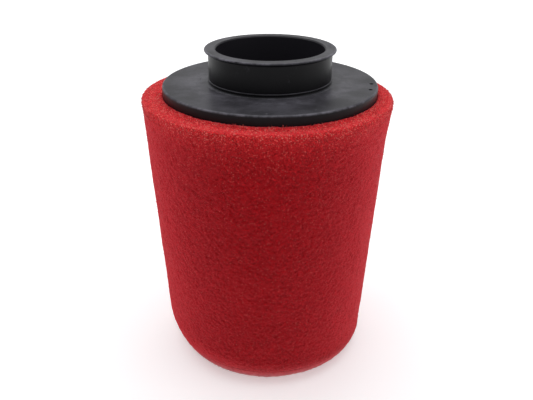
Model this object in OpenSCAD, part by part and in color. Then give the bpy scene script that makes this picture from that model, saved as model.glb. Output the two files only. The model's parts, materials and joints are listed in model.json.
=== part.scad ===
// Tapered clamp-on air filter: a moulded rubber neck and flange, a wire cage inside a
// fine foam element, and a coarse foam sock that pulls off the closed end for washing.
// The closed end rests at z = 0, and the neck points along +Z.

/* [Neck] */
// Inside diameter of the neck
neck_bore_d = 57; // [40:1:75]
// Rubber thickness at the clamp seat
neck_wall = 4; // [3:0.5:6]
// Height of the neck above the flange
neck_h = 18; // [15:0.5:30]
// How far the lip stands out past the clamp seat
lip_w = 2; // [1.6:0.1:4]
// Thickness of the lip
lip_t = 1.2; // [1:0.1:2]
// Radius of the curve under the lip
lip_fillet = 1.2; // [0.5:0.1:2]
// Chamfer at the mouth of the bore
mouth_chamfer = 0.6; // [0.2:0.1:1]
// Radius of the curve where the neck meets the flange
base_fillet = 1.5; // [0.5:0.1:3]
// Radius of the bead that stops the clamp from sliding down
bead_r = 0.5; // [0.3:0.1:0.8]

/* [Flange] */
// Thickness of the flange disc
disc_t = 6; // [5:0.5:10]
// Rounding of the disc's top edge
disc_round = 1; // [0.4:0.1:2]
// How far the bore widens on its way down into the cage
bell_w = 9; // [3:0.5:12]
// Height of the widening
bell_h = 4.5; // [2:0.5:4.8]
// Height of the collar under the disc
collar_h = 8; // [5:0.5:14]
// Rubber thickness of the collar at the disc
collar_wall = 7.1; // [4:0.1:12]
// Diameter of the moulding pits in the disc
pit_d = 2.2; // [1:0.1:3]
// Depth of the moulding pits
pit_depth = 1.2; // [0.5:0.1:2]
// Distance from the disc's edge to the centre of a pit
pit_inset = 3.4; // [2.8:0.1:6]

/* [Foam] */
// Height from the closed end to the underside of the flange
body_h = 154.5; // [110:0.5:220]
// Radius that the foam loses between the flange and the closed end
foam_taper = 8.3; // [0:0.1:14]
// Wall of the coarse outer foam
coarse_wall = 9; // [6:0.5:14]
// Thickness of the coarse foam across the closed end
coarse_end_t = 11; // [8:0.5:16]
// Rounding of the closed end's edge
end_round = 10.8; // [4:0.1:15]
// Wall of the fine inner foam
fine_wall = 9; // [6:0.5:14]
// Thickness of the fine foam across the closed end
fine_end_t = 9; // [6:0.5:14]
// Height that the coarse foam's rim stays below the underside of the flange
rim_drop = 0.3; // [0:0.1:4]
// Rounding of the rim's outer edge
rim_round = 1.5; // [0.5:0.1:4]
// Width of a glued seam
seam_t = 0.6; // [0.4:0.1:1.5]

/* [Cage] */
// Diameter of the upright wires
upright_d = 2.2; // [1.5:0.1:4]
// Number of upright wires
upright_count = 16; // [8:1:24]
// Diameter of the hoop wires
hoop_d = 2; // [1.5:0.1:4]
// Number of hoops between the top ring and the end cup
hoop_count = 7; // [3:1:9]
// Thickness of the pressed steel ring and cup
plate_t = 0.8; // [0.5:0.1:1.5]
// Width of the top ring's edge that is turned in under the collar
turn_in = 4; // [2:0.5:4]
// Height of the end cup's rim
cup_h = 6; // [4:0.5:14]
// Diameter of the air holes in the end cup
vent_d = 6; // [3:0.5:7]
// Distance between the circles of air holes
vent_step = 11; // [10:0.5:14]

/* [Clearances] */
// Gap between the coarse sock and the fine foam that it slides over
layer_gap = 0.3; // [0.2:0.1:1]
// Gap between the cage and the fine foam around it
cage_gap = 0.3; // [0.2:0.1:1]
// Gap left at each spot weld
weld_gap = 0.05; // [0.02:0.01:0.1]
// Gap between the rubber collar and the steel ring around it
collar_gap = 0.05; // [0.02:0.01:0.1]
// Thickness of a flat glue line
glue_t = 0.3; // [0.2:0.1:0.6]

/* [Hidden] */
$fn = 96;
arc_steps = 8;
// How far a cutting shape reaches past what it cuts
cut = 1;
// Smallest flat left beside a rounding
land = 0.2;

rubber = [0.17, 0.17, 0.18];
steel = [0.72, 0.73, 0.75];
glue = [0.30, 0.28, 0.26];
fine_foam = [0.16, 0.16, 0.17];
coarse_foam = [0.66, 0.12, 0.16];
coarse_glue = [0.42, 0.10, 0.12];

// Levels, from the closed end up
outer_joint_z = coarse_end_t + glue_t;
fine_z = coarse_end_t + layer_gap;
fine_end_z = fine_z + fine_end_t;
fine_joint_z = fine_end_z + glue_t;
cup_z = fine_end_z + cage_gap;
ring_z = body_h - collar_h - plate_t;
disc_z = body_h + disc_t;
neck_z = disc_z + neck_h;
rim_z = body_h - rim_drop;

// Radii at the underside of the flange, from the bore out
bore_r = neck_bore_d / 2;
seat_r = bore_r + neck_wall;
lip_r = seat_r + lip_w;
collar_in_r = bore_r + bell_w;
collar_r = collar_in_r + collar_wall;
ring_in_r = collar_r + collar_gap;
ring_r = ring_in_r + plate_t;
weld_r = ring_r + weld_gap;
upright_r = weld_r + upright_d / 2;
fine_in_r = weld_r + upright_d + cage_gap;
fine_r = fine_in_r + fine_wall;
disc_r = fine_r;
sock_in_r = fine_r + layer_gap;
sock_r = sock_in_r + coarse_wall;

// Angles around the neck axis, counted from +X
outer_seam_a = 90;
fine_seam_a = 60;
pit_angles = [-4, -15.6];

// The hoops share out the height between the end cup's rim and the top ring
hoop_z0 = cup_z + cup_h;
hoop_step = (ring_z - hoop_z0) / (hoop_count + 1);
hoop_names = [for (i = [1:hoop_count]) str("cage_hoop_", i)];

// A radius given at the flange's underside, carried down the taper to height z
function tapered(r, z) = r - foam_taper * (1 - z / body_h);

// Points of an arc about (r, z), from angle a0 to angle a1
function arc(r, z, radius, a0, a1) = [
    for (i = [0:arc_steps])
        let (a = a0 + (a1 - a0) * i / arc_steps)
            [r + radius * cos(a), z + radius * sin(a)]
];

// Points of the quarter ellipse that widens the bore into the collar
function bell_curve() = [
    for (i = [0:arc_steps])
        let (a = 90 * i / arc_steps)
            [bore_r + bell_w * (1 - cos(a)), body_h + bell_h * (1 - sin(a))]
];

// A wall between two radii that both follow the taper, from height z0 to height z1
module tapered_wall(r_in, r_out, z0, z1) {
    rotate_extrude()
        polygon([
            [tapered(r_in, z0), z0],
            [tapered(r_out, z0), z0],
            [tapered(r_out, z1), z1],
            [tapered(r_in, z1), z1]
        ]);
}

// The thin upright plane of a glued seam, reaching out from the axis at an angle
module seam_plane(angle) {
    rotate([0, 0, angle])
        translate([0, -seam_t / 2, 0])
            cube([sock_r + cut, seam_t, neck_z]);
}

// Outline of the neck, the disc and the collar, turned about the neck axis
module neck_profile() {
    bead_z = disc_z + base_fillet + bead_r;
    under_lip_z = neck_z - lip_t;
    curve_r = min(lip_fillet, lip_w - lip_t / 2 - land);
    polygon(concat(
        [[bore_r + mouth_chamfer, neck_z], [bore_r, neck_z - mouth_chamfer]],
        bell_curve(),
        [[collar_in_r, body_h - collar_h],
         [tapered(collar_r, body_h - collar_h), body_h - collar_h],
         [collar_r, body_h],
         [disc_r, body_h]],
        arc(disc_r - disc_round, disc_z - disc_round, disc_round, 0, 90),
        arc(seat_r + base_fillet, disc_z + base_fillet, base_fillet, 270, 180),
        arc(seat_r, bead_z, bead_r, -70, 90),
        arc(seat_r + curve_r, under_lip_z - curve_r, curve_r, 180, 90),
        arc(lip_r - lip_t / 2, neck_z - lip_t / 2, lip_t / 2, -90, 90)
    ));
}

// Moulded rubber neck with its lip, clamp seat, flange disc and collar, in one piece
module neck_flange() {
    color(rubber)
        difference() {
            rotate_extrude() neck_profile();
            for (a = pit_angles)
                rotate([0, 0, a])
                    translate([disc_r - pit_inset, 0, disc_z - pit_depth])
                        cylinder(h = pit_depth + cut, d = pit_d);
        }
}

// Glue between the disc's underside and the top edge of the fine foam
module flange_glue() {
    color(glue)
        tapered_wall(fine_in_r, fine_r, body_h - glue_t, body_h);
}

// Pressed steel ring around the collar, with its lower edge turned in under the rubber
module cage_top_ring() {
    z1 = ring_z + plate_t;
    turned_r = tapered(ring_in_r, z1) - turn_in;
    color(steel)
        rotate_extrude()
            polygon([
                [turned_r, ring_z],
                [tapered(ring_r, ring_z), ring_z],
                [ring_r, body_h],
                [ring_in_r, body_h],
                [tapered(ring_in_r, z1), z1],
                [turned_r, z1]
            ]);
}

// Straight upright wires, leaning in with the taper
module cage_uprights() {
    z0 = cup_z;
    z1 = body_h - cage_gap;
    lean = atan2(foam_taper, body_h);
    color(steel)
        for (i = [0:upright_count - 1])
            rotate([0, 0, 360 * (i + 0.5) / upright_count])
                translate([tapered(upright_r, z0), 0, z0])
                    rotate([0, lean, 0])
                        cylinder(h = (z1 - z0) / cos(lean), d = upright_d);
}

// One hoop, spot welded inside the uprights
module cage_hoop(i) {
    z = hoop_z0 + hoop_step * i;
    color(steel)
        rotate_extrude()
            translate([tapered(ring_r, z) - hoop_d / 2, z])
                circle(d = hoop_d);
}

// Pressed steel cup that closes the cage, with circles of air holes
module cage_end_cup() {
    z1 = cup_z + plate_t;
    z2 = cup_z + cup_h;
    rings = floor((tapered(ring_r, cup_z) - plate_t - vent_d / 2) / vent_step);
    color(steel)
        difference() {
            rotate_extrude()
                polygon([
                    [0, cup_z],
                    [tapered(ring_r, cup_z), cup_z],
                    [tapered(ring_r, z2), z2],
                    [tapered(ring_in_r, z2), z2],
                    [tapered(ring_in_r, z1), z1],
                    [0, z1]
                ]);
            translate([0, 0, cup_z - cut])
                cylinder(h = plate_t + 2 * cut, d = vent_d);
            for (ring = [1:rings], i = [0:6 * ring - 1])
                rotate([0, 0, 60 * i / ring])
                    translate([ring * vent_step, 0, cup_z - cut])
                        cylinder(h = plate_t + 2 * cut, d = vent_d);
        }
}

// Fine foam wall before its seam is cut
module fine_wall_body() {
    tapered_wall(fine_in_r, fine_r, fine_joint_z, body_h - glue_t);
}

// Fine foam wall, a sheet bent round the cage
module fine_foam_sleeve() {
    color(fine_foam)
        difference() {
            fine_wall_body();
            seam_plane(fine_seam_a);
        }
}

// Glued seam of the fine foam wall
module fine_foam_seam() {
    color(glue)
        intersection() {
            fine_wall_body();
            seam_plane(fine_seam_a);
        }
}

// Fine foam disc across the closed end
module fine_foam_end() {
    color(fine_foam)
        rotate_extrude()
            polygon([
                [0, fine_z],
                [tapered(fine_r, fine_z), fine_z],
                [tapered(fine_r, fine_end_z), fine_end_z],
                [0, fine_end_z]
            ]);
}

// Glue between the fine foam wall and its end disc
module fine_end_glue() {
    color(glue)
        tapered_wall(fine_in_r, fine_r, fine_end_z, fine_joint_z);
}

// Coarse foam wall before its seam is cut, with its rim just under the disc's edge
module outer_wall_body() {
    round_z = rim_z - rim_round;
    rotate_extrude()
        polygon(concat(
            [[tapered(sock_in_r, outer_joint_z), outer_joint_z],
             [tapered(sock_r, outer_joint_z), outer_joint_z]],
            arc(tapered(sock_r, round_z) - rim_round, round_z, rim_round, 0, 90),
            [[tapered(sock_in_r, rim_z), rim_z]]
        ));
}

// Coarse foam wall, a sheet bent round the fine element
module outer_foam_sleeve() {
    color(coarse_foam)
        difference() {
            outer_wall_body();
            seam_plane(outer_seam_a);
        }
}

// Glued seam of the coarse foam wall
module outer_foam_seam() {
    color(coarse_glue)
        intersection() {
            outer_wall_body();
            seam_plane(outer_seam_a);
        }
}

// Coarse foam disc across the closed end, with a rounded edge
module outer_foam_end() {
    edge_round = min(end_round, coarse_end_t - land);
    edge_r = tapered(sock_r, coarse_end_t);
    color(coarse_foam)
        rotate_extrude()
            polygon(concat(
                [[0, 0]],
                arc(edge_r - edge_round, edge_round, edge_round, 270, 360),
                [[edge_r, coarse_end_t], [0, coarse_end_t]]
            ));
}

// Glue between the coarse foam wall and its end disc
module outer_end_glue() {
    color(coarse_glue)
        tapered_wall(sock_in_r, sock_r, coarse_end_t, outer_joint_z);
}

neck_flange();
flange_glue();
cage_top_ring();
cage_uprights();
for (i = [1:hoop_count])
    cage_hoop(i);
cage_end_cup();
fine_foam_sleeve();
fine_foam_seam();
fine_foam_end();
fine_end_glue();
outer_foam_sleeve();
outer_foam_seam();
outer_foam_end();
outer_end_glue();
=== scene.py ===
"""Tapered clamp-on foam air filter: its foam is modelled and its rubber and wire are dressed.

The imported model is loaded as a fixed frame. Every foam and glue piece is modelled anew in
the space that its plain solid holds, and every other piece keeps its shape and gets a finish.
"""

import json
import logging
import math
from dataclasses import dataclass, field
from enum import Enum
from typing import ClassVar

import bpy
import numpy as np
from mathutils import Matrix, Vector

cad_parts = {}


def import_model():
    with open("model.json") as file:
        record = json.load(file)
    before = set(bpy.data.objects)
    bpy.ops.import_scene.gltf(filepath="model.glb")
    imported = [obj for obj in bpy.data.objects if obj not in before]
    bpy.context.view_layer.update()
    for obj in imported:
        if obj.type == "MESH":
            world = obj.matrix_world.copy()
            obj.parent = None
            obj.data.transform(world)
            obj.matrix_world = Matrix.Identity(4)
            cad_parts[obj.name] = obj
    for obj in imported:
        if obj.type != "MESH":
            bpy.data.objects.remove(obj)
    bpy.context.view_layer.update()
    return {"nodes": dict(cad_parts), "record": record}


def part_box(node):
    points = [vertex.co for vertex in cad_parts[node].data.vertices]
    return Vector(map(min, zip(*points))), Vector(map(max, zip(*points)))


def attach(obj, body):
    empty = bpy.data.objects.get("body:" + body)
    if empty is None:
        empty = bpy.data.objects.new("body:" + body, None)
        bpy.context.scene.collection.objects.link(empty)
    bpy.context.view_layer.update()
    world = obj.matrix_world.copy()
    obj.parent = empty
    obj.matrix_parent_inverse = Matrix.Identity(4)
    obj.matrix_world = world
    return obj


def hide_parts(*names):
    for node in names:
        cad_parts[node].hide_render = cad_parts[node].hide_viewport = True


LOG = logging.getLogger("air_filter")
MM = 0.001
SQRT3 = math.sqrt(3.0)

Colour = tuple[float, float, float]
Mark = tuple[float, float, float, float]


class Body(Enum):
    """The bodies of the frame that pieces ride on."""

    ELEMENT = "filter_element"
    SOCK = "outer_sock"


# --------------------------------------------------------------------------- curves


def polar(radius: np.ndarray | float, angle: np.ndarray | float, height: np.ndarray | float) -> np.ndarray:
    """Points of shape (n, 3) at a radius and an angle round the neck axis and at a height."""
    return np.stack(np.broadcast_arrays(radius * np.cos(angle), radius * np.sin(angle), height), 1)


def bell(away: np.ndarray | float, width: float) -> np.ndarray | float:
    """A smooth hill: 1 where away is nothing, and nearly 0 beyond two widths."""
    return np.exp(-((away / width) ** 2))


def turn_between(angle: np.ndarray | float, middle: float) -> np.ndarray | float:
    """How far an angle lies from a middle one, from minus pi to pi."""
    return np.angle(np.exp(1j * (angle - middle)))


# --------------------------------------------------------------------------- sizes


@dataclass(frozen=True)
class Cone:
    """A radius that changes evenly with height."""

    low_z: float
    low_r: float
    high_z: float
    high_r: float

    @property
    def slope(self) -> float:
        """Radius gained for each unit of height."""
        return (self.high_r - self.low_r) / (self.high_z - self.low_z)

    def at(self, z: np.ndarray | float) -> np.ndarray | float:
        """The radius at height z."""
        return self.low_r + self.slope * (z - self.low_z)

    def inset(self, depth: float) -> "Cone":
        """The same cone, smaller by depth all the way up."""
        return Cone(self.low_z, self.low_r - depth, self.high_z, self.high_r - depth)


@dataclass(frozen=True)
class FilterSizes:
    """Sizes of the filter, read from the frame."""

    LIP_REACH: ClassVar[float] = 2 * MM
    DISC_THICKNESS: ClassVar[float] = 6 * MM

    disc_r: float
    disc_low: float
    disc_high: float
    neck_top: float
    lip_r: float
    seat_r: float
    bore_r: float
    skin: Cone
    fine: Cone
    coarse_wall: float
    fine_wall: float
    end_joint: float
    glue: float
    rim: float
    fine_low: float
    fine_joint: float
    fine_top: float
    seam_angle: float
    fine_seam_angle: float

    @staticmethod
    def inner_radius(node: bpy.types.Object, z: float) -> float:
        """The smallest radius of a node's points at height z."""
        level = 0.1 * MM
        return min(math.hypot(v.co.x, v.co.y) for v in node.data.vertices if abs(v.co.z - z) < level)

    @classmethod
    def from_frame(cls, nodes: dict[str, bpy.types.Object], record: dict) -> "FilterSizes":
        """Reads every size from the frame's boxes and its record.

        Args:
            nodes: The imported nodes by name.
            record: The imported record, whose mounts give the neck's radii.

        Returns:
            The sizes in metres.
        """
        mounts = {m["name"]: m for m in record["mounts"]}
        _, neck_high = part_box("neck_flange")
        _, wall_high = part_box("outer_foam_sleeve")
        glue_low, glue_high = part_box("outer_end_glue")
        _, fine_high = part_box("fine_foam_sleeve")
        cap_low, cap_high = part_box("fine_foam_end")
        _, top_glue_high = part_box("flange_glue")
        seam_low, seam_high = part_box("outer_foam_seam")
        fine_seam_low, fine_seam_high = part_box("fine_foam_seam")
        outer = Cone(glue_high.z, glue_high.x, wall_high.z, wall_high.x)
        fine = Cone(cap_high.z, cap_high.x, top_glue_high.z, top_glue_high.x)
        skin = Cone(
            outer.low_z, outer.low_r, wall_high.z, outer.low_r + fine.slope * (wall_high.z - outer.low_z)
        )
        fine_seam = (fine_seam_low + fine_seam_high) / 2
        gap = cap_low.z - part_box("outer_foam_end")[1].z
        disc_low = top_glue_high.z
        seat_r = mounts["clamp_seat"]["dims"]["r_mm"] * MM
        return cls(
            disc_r=neck_high.x,
            disc_low=disc_low,
            disc_high=disc_low + cls.DISC_THICKNESS,
            neck_top=neck_high.z,
            lip_r=seat_r + cls.LIP_REACH,
            seat_r=seat_r,
            bore_r=mounts["neck_bore"]["dims"]["r_mm"] * MM,
            skin=skin,
            fine=fine,
            coarse_wall=skin.at(fine.high_z) - fine.high_r - gap,
            fine_wall=fine.high_r - cls.inner_radius(nodes["fine_foam_sleeve"], fine_high.z),
            end_joint=glue_low.z,
            glue=glue_high.z - glue_low.z,
            rim=wall_high.z,
            fine_low=cap_low.z,
            fine_joint=cap_high.z,
            fine_top=fine_high.z,
            seam_angle=math.atan2(seam_low.y + seam_high.y, seam_low.x + seam_high.x),
            fine_seam_angle=math.atan2(fine_seam.y, fine_seam.x),
        )


# --------------------------------------------------------------------------- noise


class Scatter:
    """Repeatable noise on arrays of points, the same in every run."""

    @staticmethod
    def hashed(cells: np.ndarray, salt: int) -> np.ndarray:
        """A number from 0 to 1 for each whole-number cell.

        Args:
            cells: Whole-number cell coordinates, in an array of shape (..., 3).
            salt: Picks one of many unrelated sets of numbers.

        Returns:
            An array of shape (...).
        """
        c = cells.astype(np.int64)
        h = c[..., 0] * 73856093 ^ c[..., 1] * 19349663 ^ c[..., 2] * 83492791 ^ (salt * 2654435761)
        h = (h ^ (h >> 13)) * 1274126177 & 0xFFFFFFFF
        h = (h ^ (h >> 16)) * 2246822519 & 0xFFFFFFFF
        return ((h ^ (h >> 15)) & 0xFFFFFF) / float(0xFFFFFF)

    @classmethod
    def smooth(cls, points: np.ndarray, size: float, salt: int) -> np.ndarray:
        """Soft lumps from -1 to 1, about one size across.

        Args:
            points: Points in metres, in an array of shape (n, 3).
            size: Distance over which the lumps change, in metres.
            salt: Picks one of many unrelated patterns.

        Returns:
            One value for each point.
        """
        p = points / size
        base = np.floor(p)
        t = p - base
        t = t * t * (3 - 2 * t)
        total = np.zeros(len(points))
        for corner in np.ndindex(2, 2, 2):
            weight = np.prod(np.where(np.array(corner), t, 1 - t), axis=1)
            total += weight * cls.hashed(base + np.array(corner), salt)
        return total * 2 - 1

    @classmethod
    def pores(cls, points: np.ndarray, size: float, salt: int) -> np.ndarray:
        """How deep in a foam cell each point lies, from 0 on a strut to 1 in an open middle.

        Args:
            points: Points in metres, in an array of shape (n, 3).
            size: Distance between the middles of neighbouring cells, in metres.
            salt: Picks one of many unrelated patterns.

        Returns:
            One value for each point.
        """
        p = points / size
        base = np.floor(p)
        first = np.full(len(p), 9.0)
        second = np.full(len(p), 9.0)
        for corner in np.ndindex(3, 3, 3):
            cell = base + np.array(corner) - 1
            middle = cell + np.stack([cls.hashed(cell, salt + k) for k in range(3)], 1)
            away = np.linalg.norm(p - middle, axis=1)
            second = np.minimum(np.maximum(first, away), second)
            first = np.minimum(first, away)
        deep = np.clip((second - first) / 0.5, 0, 1)
        return deep * deep * (3 - 2 * deep)


# --------------------------------------------------------------------------- meshes


@dataclass
class RingSheet:
    """A closed surface woven from rings of points round the neck axis.

    The rings alternate by half a step, so that their points form even triangles. Each point
    also says how deep in a pore it lies, how near the cut rim it is and how much painted backlight it gets.
    """

    points: list[np.ndarray] = field(default_factory=list)
    pores: list[np.ndarray] = field(default_factory=list)
    cuts: list[np.ndarray] = field(default_factory=list)
    backlit_fringe: list[np.ndarray] = field(default_factory=list)

    @staticmethod
    def angles(count: int, row: int) -> np.ndarray:
        """The angles of a ring's points, with odd rows turned by half a step."""
        return (np.arange(count) + 0.5 * (row % 2)) * 2 * math.pi / count

    def add(
        self,
        ring: np.ndarray,
        pore: float | np.ndarray,
        cut: float | np.ndarray = 0.0,
        backlit_fringe: float | np.ndarray = 0.0,
    ) -> None:
        """Adds a ring of points.

        Args:
            ring: The points in metres, of shape (n, 3).
            pore: How deep in a pore each point lies, from 0 to 1.
            cut: How near the cut rim each point is, from 0 to 1.
            backlit_fringe: How much painted backlit paleness the foam gets at each point, from 0 to 1.
        """
        self.points.append(ring)
        self.pores.append(np.zeros(len(ring)) + pore)
        self.cuts.append(np.zeros(len(ring)) + cut)
        self.backlit_fringe.append(np.zeros(len(ring)) + backlit_fringe)

    @staticmethod
    def _weave(first: int, a: int, second: int, b: int) -> np.ndarray:
        """Triangles between two neighbouring rings with a and b points.

        Args:
            first: Index of the first ring's first point.
            a: Number of points in the first ring.
            second: Index of the second ring's first point.
            b: Number of points in the second ring.

        Returns:
            An array of shape (a + b, 3).
        """
        faces = []
        i = j = 0
        while i < a or j < b:
            if j >= b or (i < a and (i + 1) * b <= (j + 1) * a):
                faces.append((first + i % a, first + (i + 1) % a, second + j % b))
                i += 1
            else:
                faces.append((second + (j + 1) % b, second + j % b, first + i % a))
                j += 1
        return np.array(faces)

    @staticmethod
    def _weave_even(first: int, second: int, count: int, row: int) -> np.ndarray:
        """Triangles between two neighbouring rings with the same number of points.

        Args:
            first: Index of the first ring's first point.
            second: Index of the second ring's first point.
            count: Number of points in each ring.
            row: Number of the first ring, which says which of the two is turned by half a step.

        Returns:
            An array of shape (2 * count, 3).
        """
        i = np.arange(count)
        n = (i + 1) % count
        if row % 2 == 0:
            pair = ((first + i, first + n, second + i), (first + n, second + n, second + i))
        else:
            pair = ((first + i, first + n, second + n), (first + i, second + n, second + i))
        return np.concatenate([np.stack(corners, 1) for corners in pair])

    def build(self, name: str, closed: bool) -> bpy.types.Object:
        """Turns the rings into a mesh object.

        Args:
            name: Name of the piece.
            closed: True joins the last ring to the first, and False closes each end with a point.

        Returns:
            The new object, linked into the scene.
        """
        counts = [len(r) for r in self.points]
        starts = np.concatenate([[0], np.cumsum(counts)])
        vertices = np.concatenate(self.points)
        values = {"pore": self.pores, "cut": self.cuts, "backlit_fringe": self.backlit_fringe}
        values = {key: np.concatenate(rings) for key, rings in values.items()}
        faces = []
        last = len(counts) if closed else len(counts) - 1
        for k in range(last):
            n = (k + 1) % len(counts)
            if counts[k] == counts[n]:
                faces.append(self._weave_even(starts[k], starts[n], counts[k], k))
            else:
                faces.append(self._weave(starts[k], counts[k], starts[n], counts[n]))
        if not closed:
            tips = np.stack([self.points[0].mean(0), self.points[-1].mean(0)])
            vertices = np.concatenate([vertices, tips])
            values = {key: np.concatenate([value, [0.0, 0.0]]) for key, value in values.items()}
            low_tip, high_tip = len(vertices) - 2, len(vertices) - 1
            for k, tip, order in ((0, low_tip, (2, 1, 0)), (len(counts) - 1, high_tip, (0, 1, 2))):
                i = np.arange(counts[k])
                n = (i + 1) % counts[k]
                fan = np.stack([starts[k] + i, starts[k] + n, np.full(counts[k], tip)], 1)
                faces.append(fan[:, order])
        return Piece.from_arrays(name, vertices, np.concatenate(faces), values)


class Piece:
    """Making and finishing mesh objects."""

    @staticmethod
    def from_arrays(
        name: str,
        vertices: np.ndarray,
        faces: np.ndarray,
        values: dict[str, np.ndarray] | None = None,
    ) -> bpy.types.Object:
        """Makes a mesh object from arrays, with its faces turned outwards.

        Args:
            name: Name of the piece.
            vertices: Points in metres, in an array of shape (n, 3).
            faces: Corners of each face, in an array of shape (m, 3) or (m, 4).
            values: Values for each vertex, by name.

        Returns:
            The new object, linked into the scene.
        """
        mesh = bpy.data.meshes.new(name)
        size = faces.shape[1]
        mesh.vertices.add(len(vertices))
        mesh.vertices.foreach_set("co", vertices.astype(np.float32).ravel())
        mesh.loops.add(faces.size)
        mesh.loops.foreach_set("vertex_index", faces.astype(np.int32).ravel())
        mesh.polygons.add(len(faces))
        mesh.polygons.foreach_set("loop_start", np.arange(0, faces.size, size, dtype=np.int32))
        for key, value in (values or {}).items():
            layer = mesh.attributes.new(key, "FLOAT", "POINT")
            layer.data.foreach_set("value", value.astype(np.float32))
        mesh.update(calc_edges=True)
        mesh.validate()
        piece = bpy.data.objects.new(name, mesh)
        bpy.context.scene.collection.objects.link(piece)
        if Piece.volume(piece) < 0:
            mesh.flip_normals()
        mesh.polygons.foreach_set("use_smooth", np.ones(len(faces), bool))
        return piece

    @staticmethod
    def volume(piece: bpy.types.Object) -> float:
        """The signed volume inside a mesh.

        Args:
            piece: A closed mesh object.

        Returns:
            The volume in cubic metres, which is negative where the faces turn inwards.
        """
        mesh = piece.data
        mesh.calc_loop_triangles()
        corners = np.zeros(len(mesh.vertices) * 3)
        mesh.vertices.foreach_get("co", corners)
        tri = np.zeros(len(mesh.loop_triangles) * 3, np.int32)
        mesh.loop_triangles.foreach_get("vertices", tri)
        a, b, c = (corners.reshape(-1, 3)[tri.reshape(-1, 3)[:, k]] for k in range(3))
        return float(np.einsum("ij,ij->i", a, np.cross(b, c)).sum() / 6)

    @staticmethod
    def paint(piece: bpy.types.Object, material: bpy.types.Material) -> None:
        """Gives a piece one material in place of those it has."""
        piece.data.materials.clear()
        piece.data.materials.append(material)

    @staticmethod
    def dress(
        piece: bpy.types.Object,
        material: bpy.types.Material,
        body: Body,
        slot: str,
        replaced: tuple[str, ...] = (),
    ) -> None:
        """Gives a modelled piece its finish, its body and the nodes that it stands for.

        Args:
            piece: The modelled piece.
            material: Its finish.
            body: The body that it rides on.
            slot: The record's material slot; not used.
            replaced: Names of the nodes that it stands for.
        """
        Piece.paint(piece, material)
        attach(piece, body.value)
        if replaced:
            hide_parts(*replaced)
        LOG.info("%s: %d faces on %s", piece.name, len(piece.data.polygons), body.value)


# --------------------------------------------------------------------------- shaders


class NodeTree:
    """A short way to add nodes to a tree and join them."""

    def __init__(self, tree: bpy.types.NodeTree) -> None:
        """Starts from an empty tree."""
        self.tree = tree
        tree.nodes.clear()

    def add(self, kind: str, settings: dict | None = None, inputs: dict | None = None) -> bpy.types.Node:
        """Adds a node.

        Args:
            kind: The node's type, without its ShaderNode prefix.
            settings: Properties of the node.
            inputs: Values or output sockets for its inputs, by name or by number.

        Returns:
            The new node.
        """
        prefix = "" if kind.startswith("Node") else "ShaderNode"
        node = self.tree.nodes.new(prefix + kind)
        for key, value in (settings or {}).items():
            setattr(node, key, value)
        for key, value in (inputs or {}).items():
            socket = node.inputs[key]
            if isinstance(value, bpy.types.NodeSocket):
                self.tree.links.new(value, socket)
            else:
                socket.default_value = value
        return node

    def place(self) -> bpy.types.NodeSocket:
        """The point on the surface, in metres in the object's own frame."""
        return self.add("TexCoord").outputs["Object"]

    def carried(self, name: str) -> bpy.types.NodeSocket:
        """A value that the mesh carries at each of its points."""
        return self.add("Attribute", {"attribute_name": name}).outputs["Fac"]

    def from_axis(self, place: bpy.types.NodeSocket) -> bpy.types.NodeSocket:
        """Distance of a place from the neck axis."""
        flat = self.add("VectorMath", {"operation": "MULTIPLY"}, {0: place, 1: (1.0, 1.0, 0.0)})
        return self.add("VectorMath", {"operation": "LENGTH"}, {0: flat.outputs[0]}).outputs["Value"]

    def group(self, tree: bpy.types.NodeTree, values: dict[str, object]) -> bpy.types.Node:
        """A shader node group placed with its own values."""
        return self.add("Group", {"node_tree": tree}, values)

    def maths(self, operation: str, a: object, b: object = 0.0, clamp: bool = False) -> bpy.types.NodeSocket:
        """The output of a Math node."""
        return self.add("Math", {"operation": operation, "use_clamp": clamp}, {0: a, 1: b}).outputs[0]

    def scaled(self, value: object, times: object, plus: object) -> bpy.types.NodeSocket:
        """A value times one number plus another."""
        return self.add("Math", {"operation": "MULTIPLY_ADD"}, {0: value, 1: times, 2: plus}).outputs[0]

    def ramp(
        self, value: object, low: object, high: object, out_low: float = 0.0, out_high: float = 1.0
    ) -> bpy.types.NodeSocket:
        """A value carried smoothly from one range to another.

        Args:
            value: The value to carry.
            low: Start of its range.
            high: End of its range.
            out_low: What the start turns into.
            out_high: What the end turns into.

        Returns:
            The carried value, which stays level beyond its range.
        """
        node = self.add(
            "MapRange",
            {"interpolation_type": "SMOOTHSTEP"},
            {"Value": value, "From Min": low, "From Max": high, "To Min": out_low, "To Max": out_high},
        )
        return node.outputs["Result"]

    def mix(self, factor: object, a: object, b: object) -> bpy.types.NodeSocket:
        """A colour mix.

        Args:
            factor: How much of the second colour shows, from 0 to 1.
            a: The first colour.
            b: The second colour.

        Returns:
            The mixed colour.
        """
        node = self.tree.nodes.new("ShaderNodeMix")
        node.data_type = "RGBA"
        for socket, value in ((node.inputs[0], factor), (node.inputs[6], a), (node.inputs[7], b)):
            if isinstance(value, bpy.types.NodeSocket):
                self.tree.links.new(value, socket)
            elif isinstance(value, tuple):
                socket.default_value = (*value, 1.0)
            else:
                socket.default_value = value
        return node.outputs[2]

    def noise(
        self, where: object, scale: object, detail: float = 3.0, rough: float = 0.55
    ) -> bpy.types.NodeSocket:
        """A noise texture's value at a place."""
        values = {"Vector": where, "Scale": scale, "Detail": detail, "Roughness": rough}
        return self.add("TexNoise", None, values).outputs["Fac"]

    def cells(self, where: object, scale: float) -> tuple[bpy.types.NodeSocket, bpy.types.NodeSocket]:
        """Round cells scattered over the surface.

        Args:
            where: The place.
            scale: Number of cells in a metre.

        Returns:
            A number from 0 to 1 for each cell, and the distance from the cell's middle in cells.
        """
        node = self.add("TexVoronoi", {"feature": "F1"}, {"Vector": where, "Scale": scale})
        draw = self.add("SeparateColor", None, {0: node.outputs["Color"]}).outputs[0]
        return draw, node.outputs["Distance"]


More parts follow.
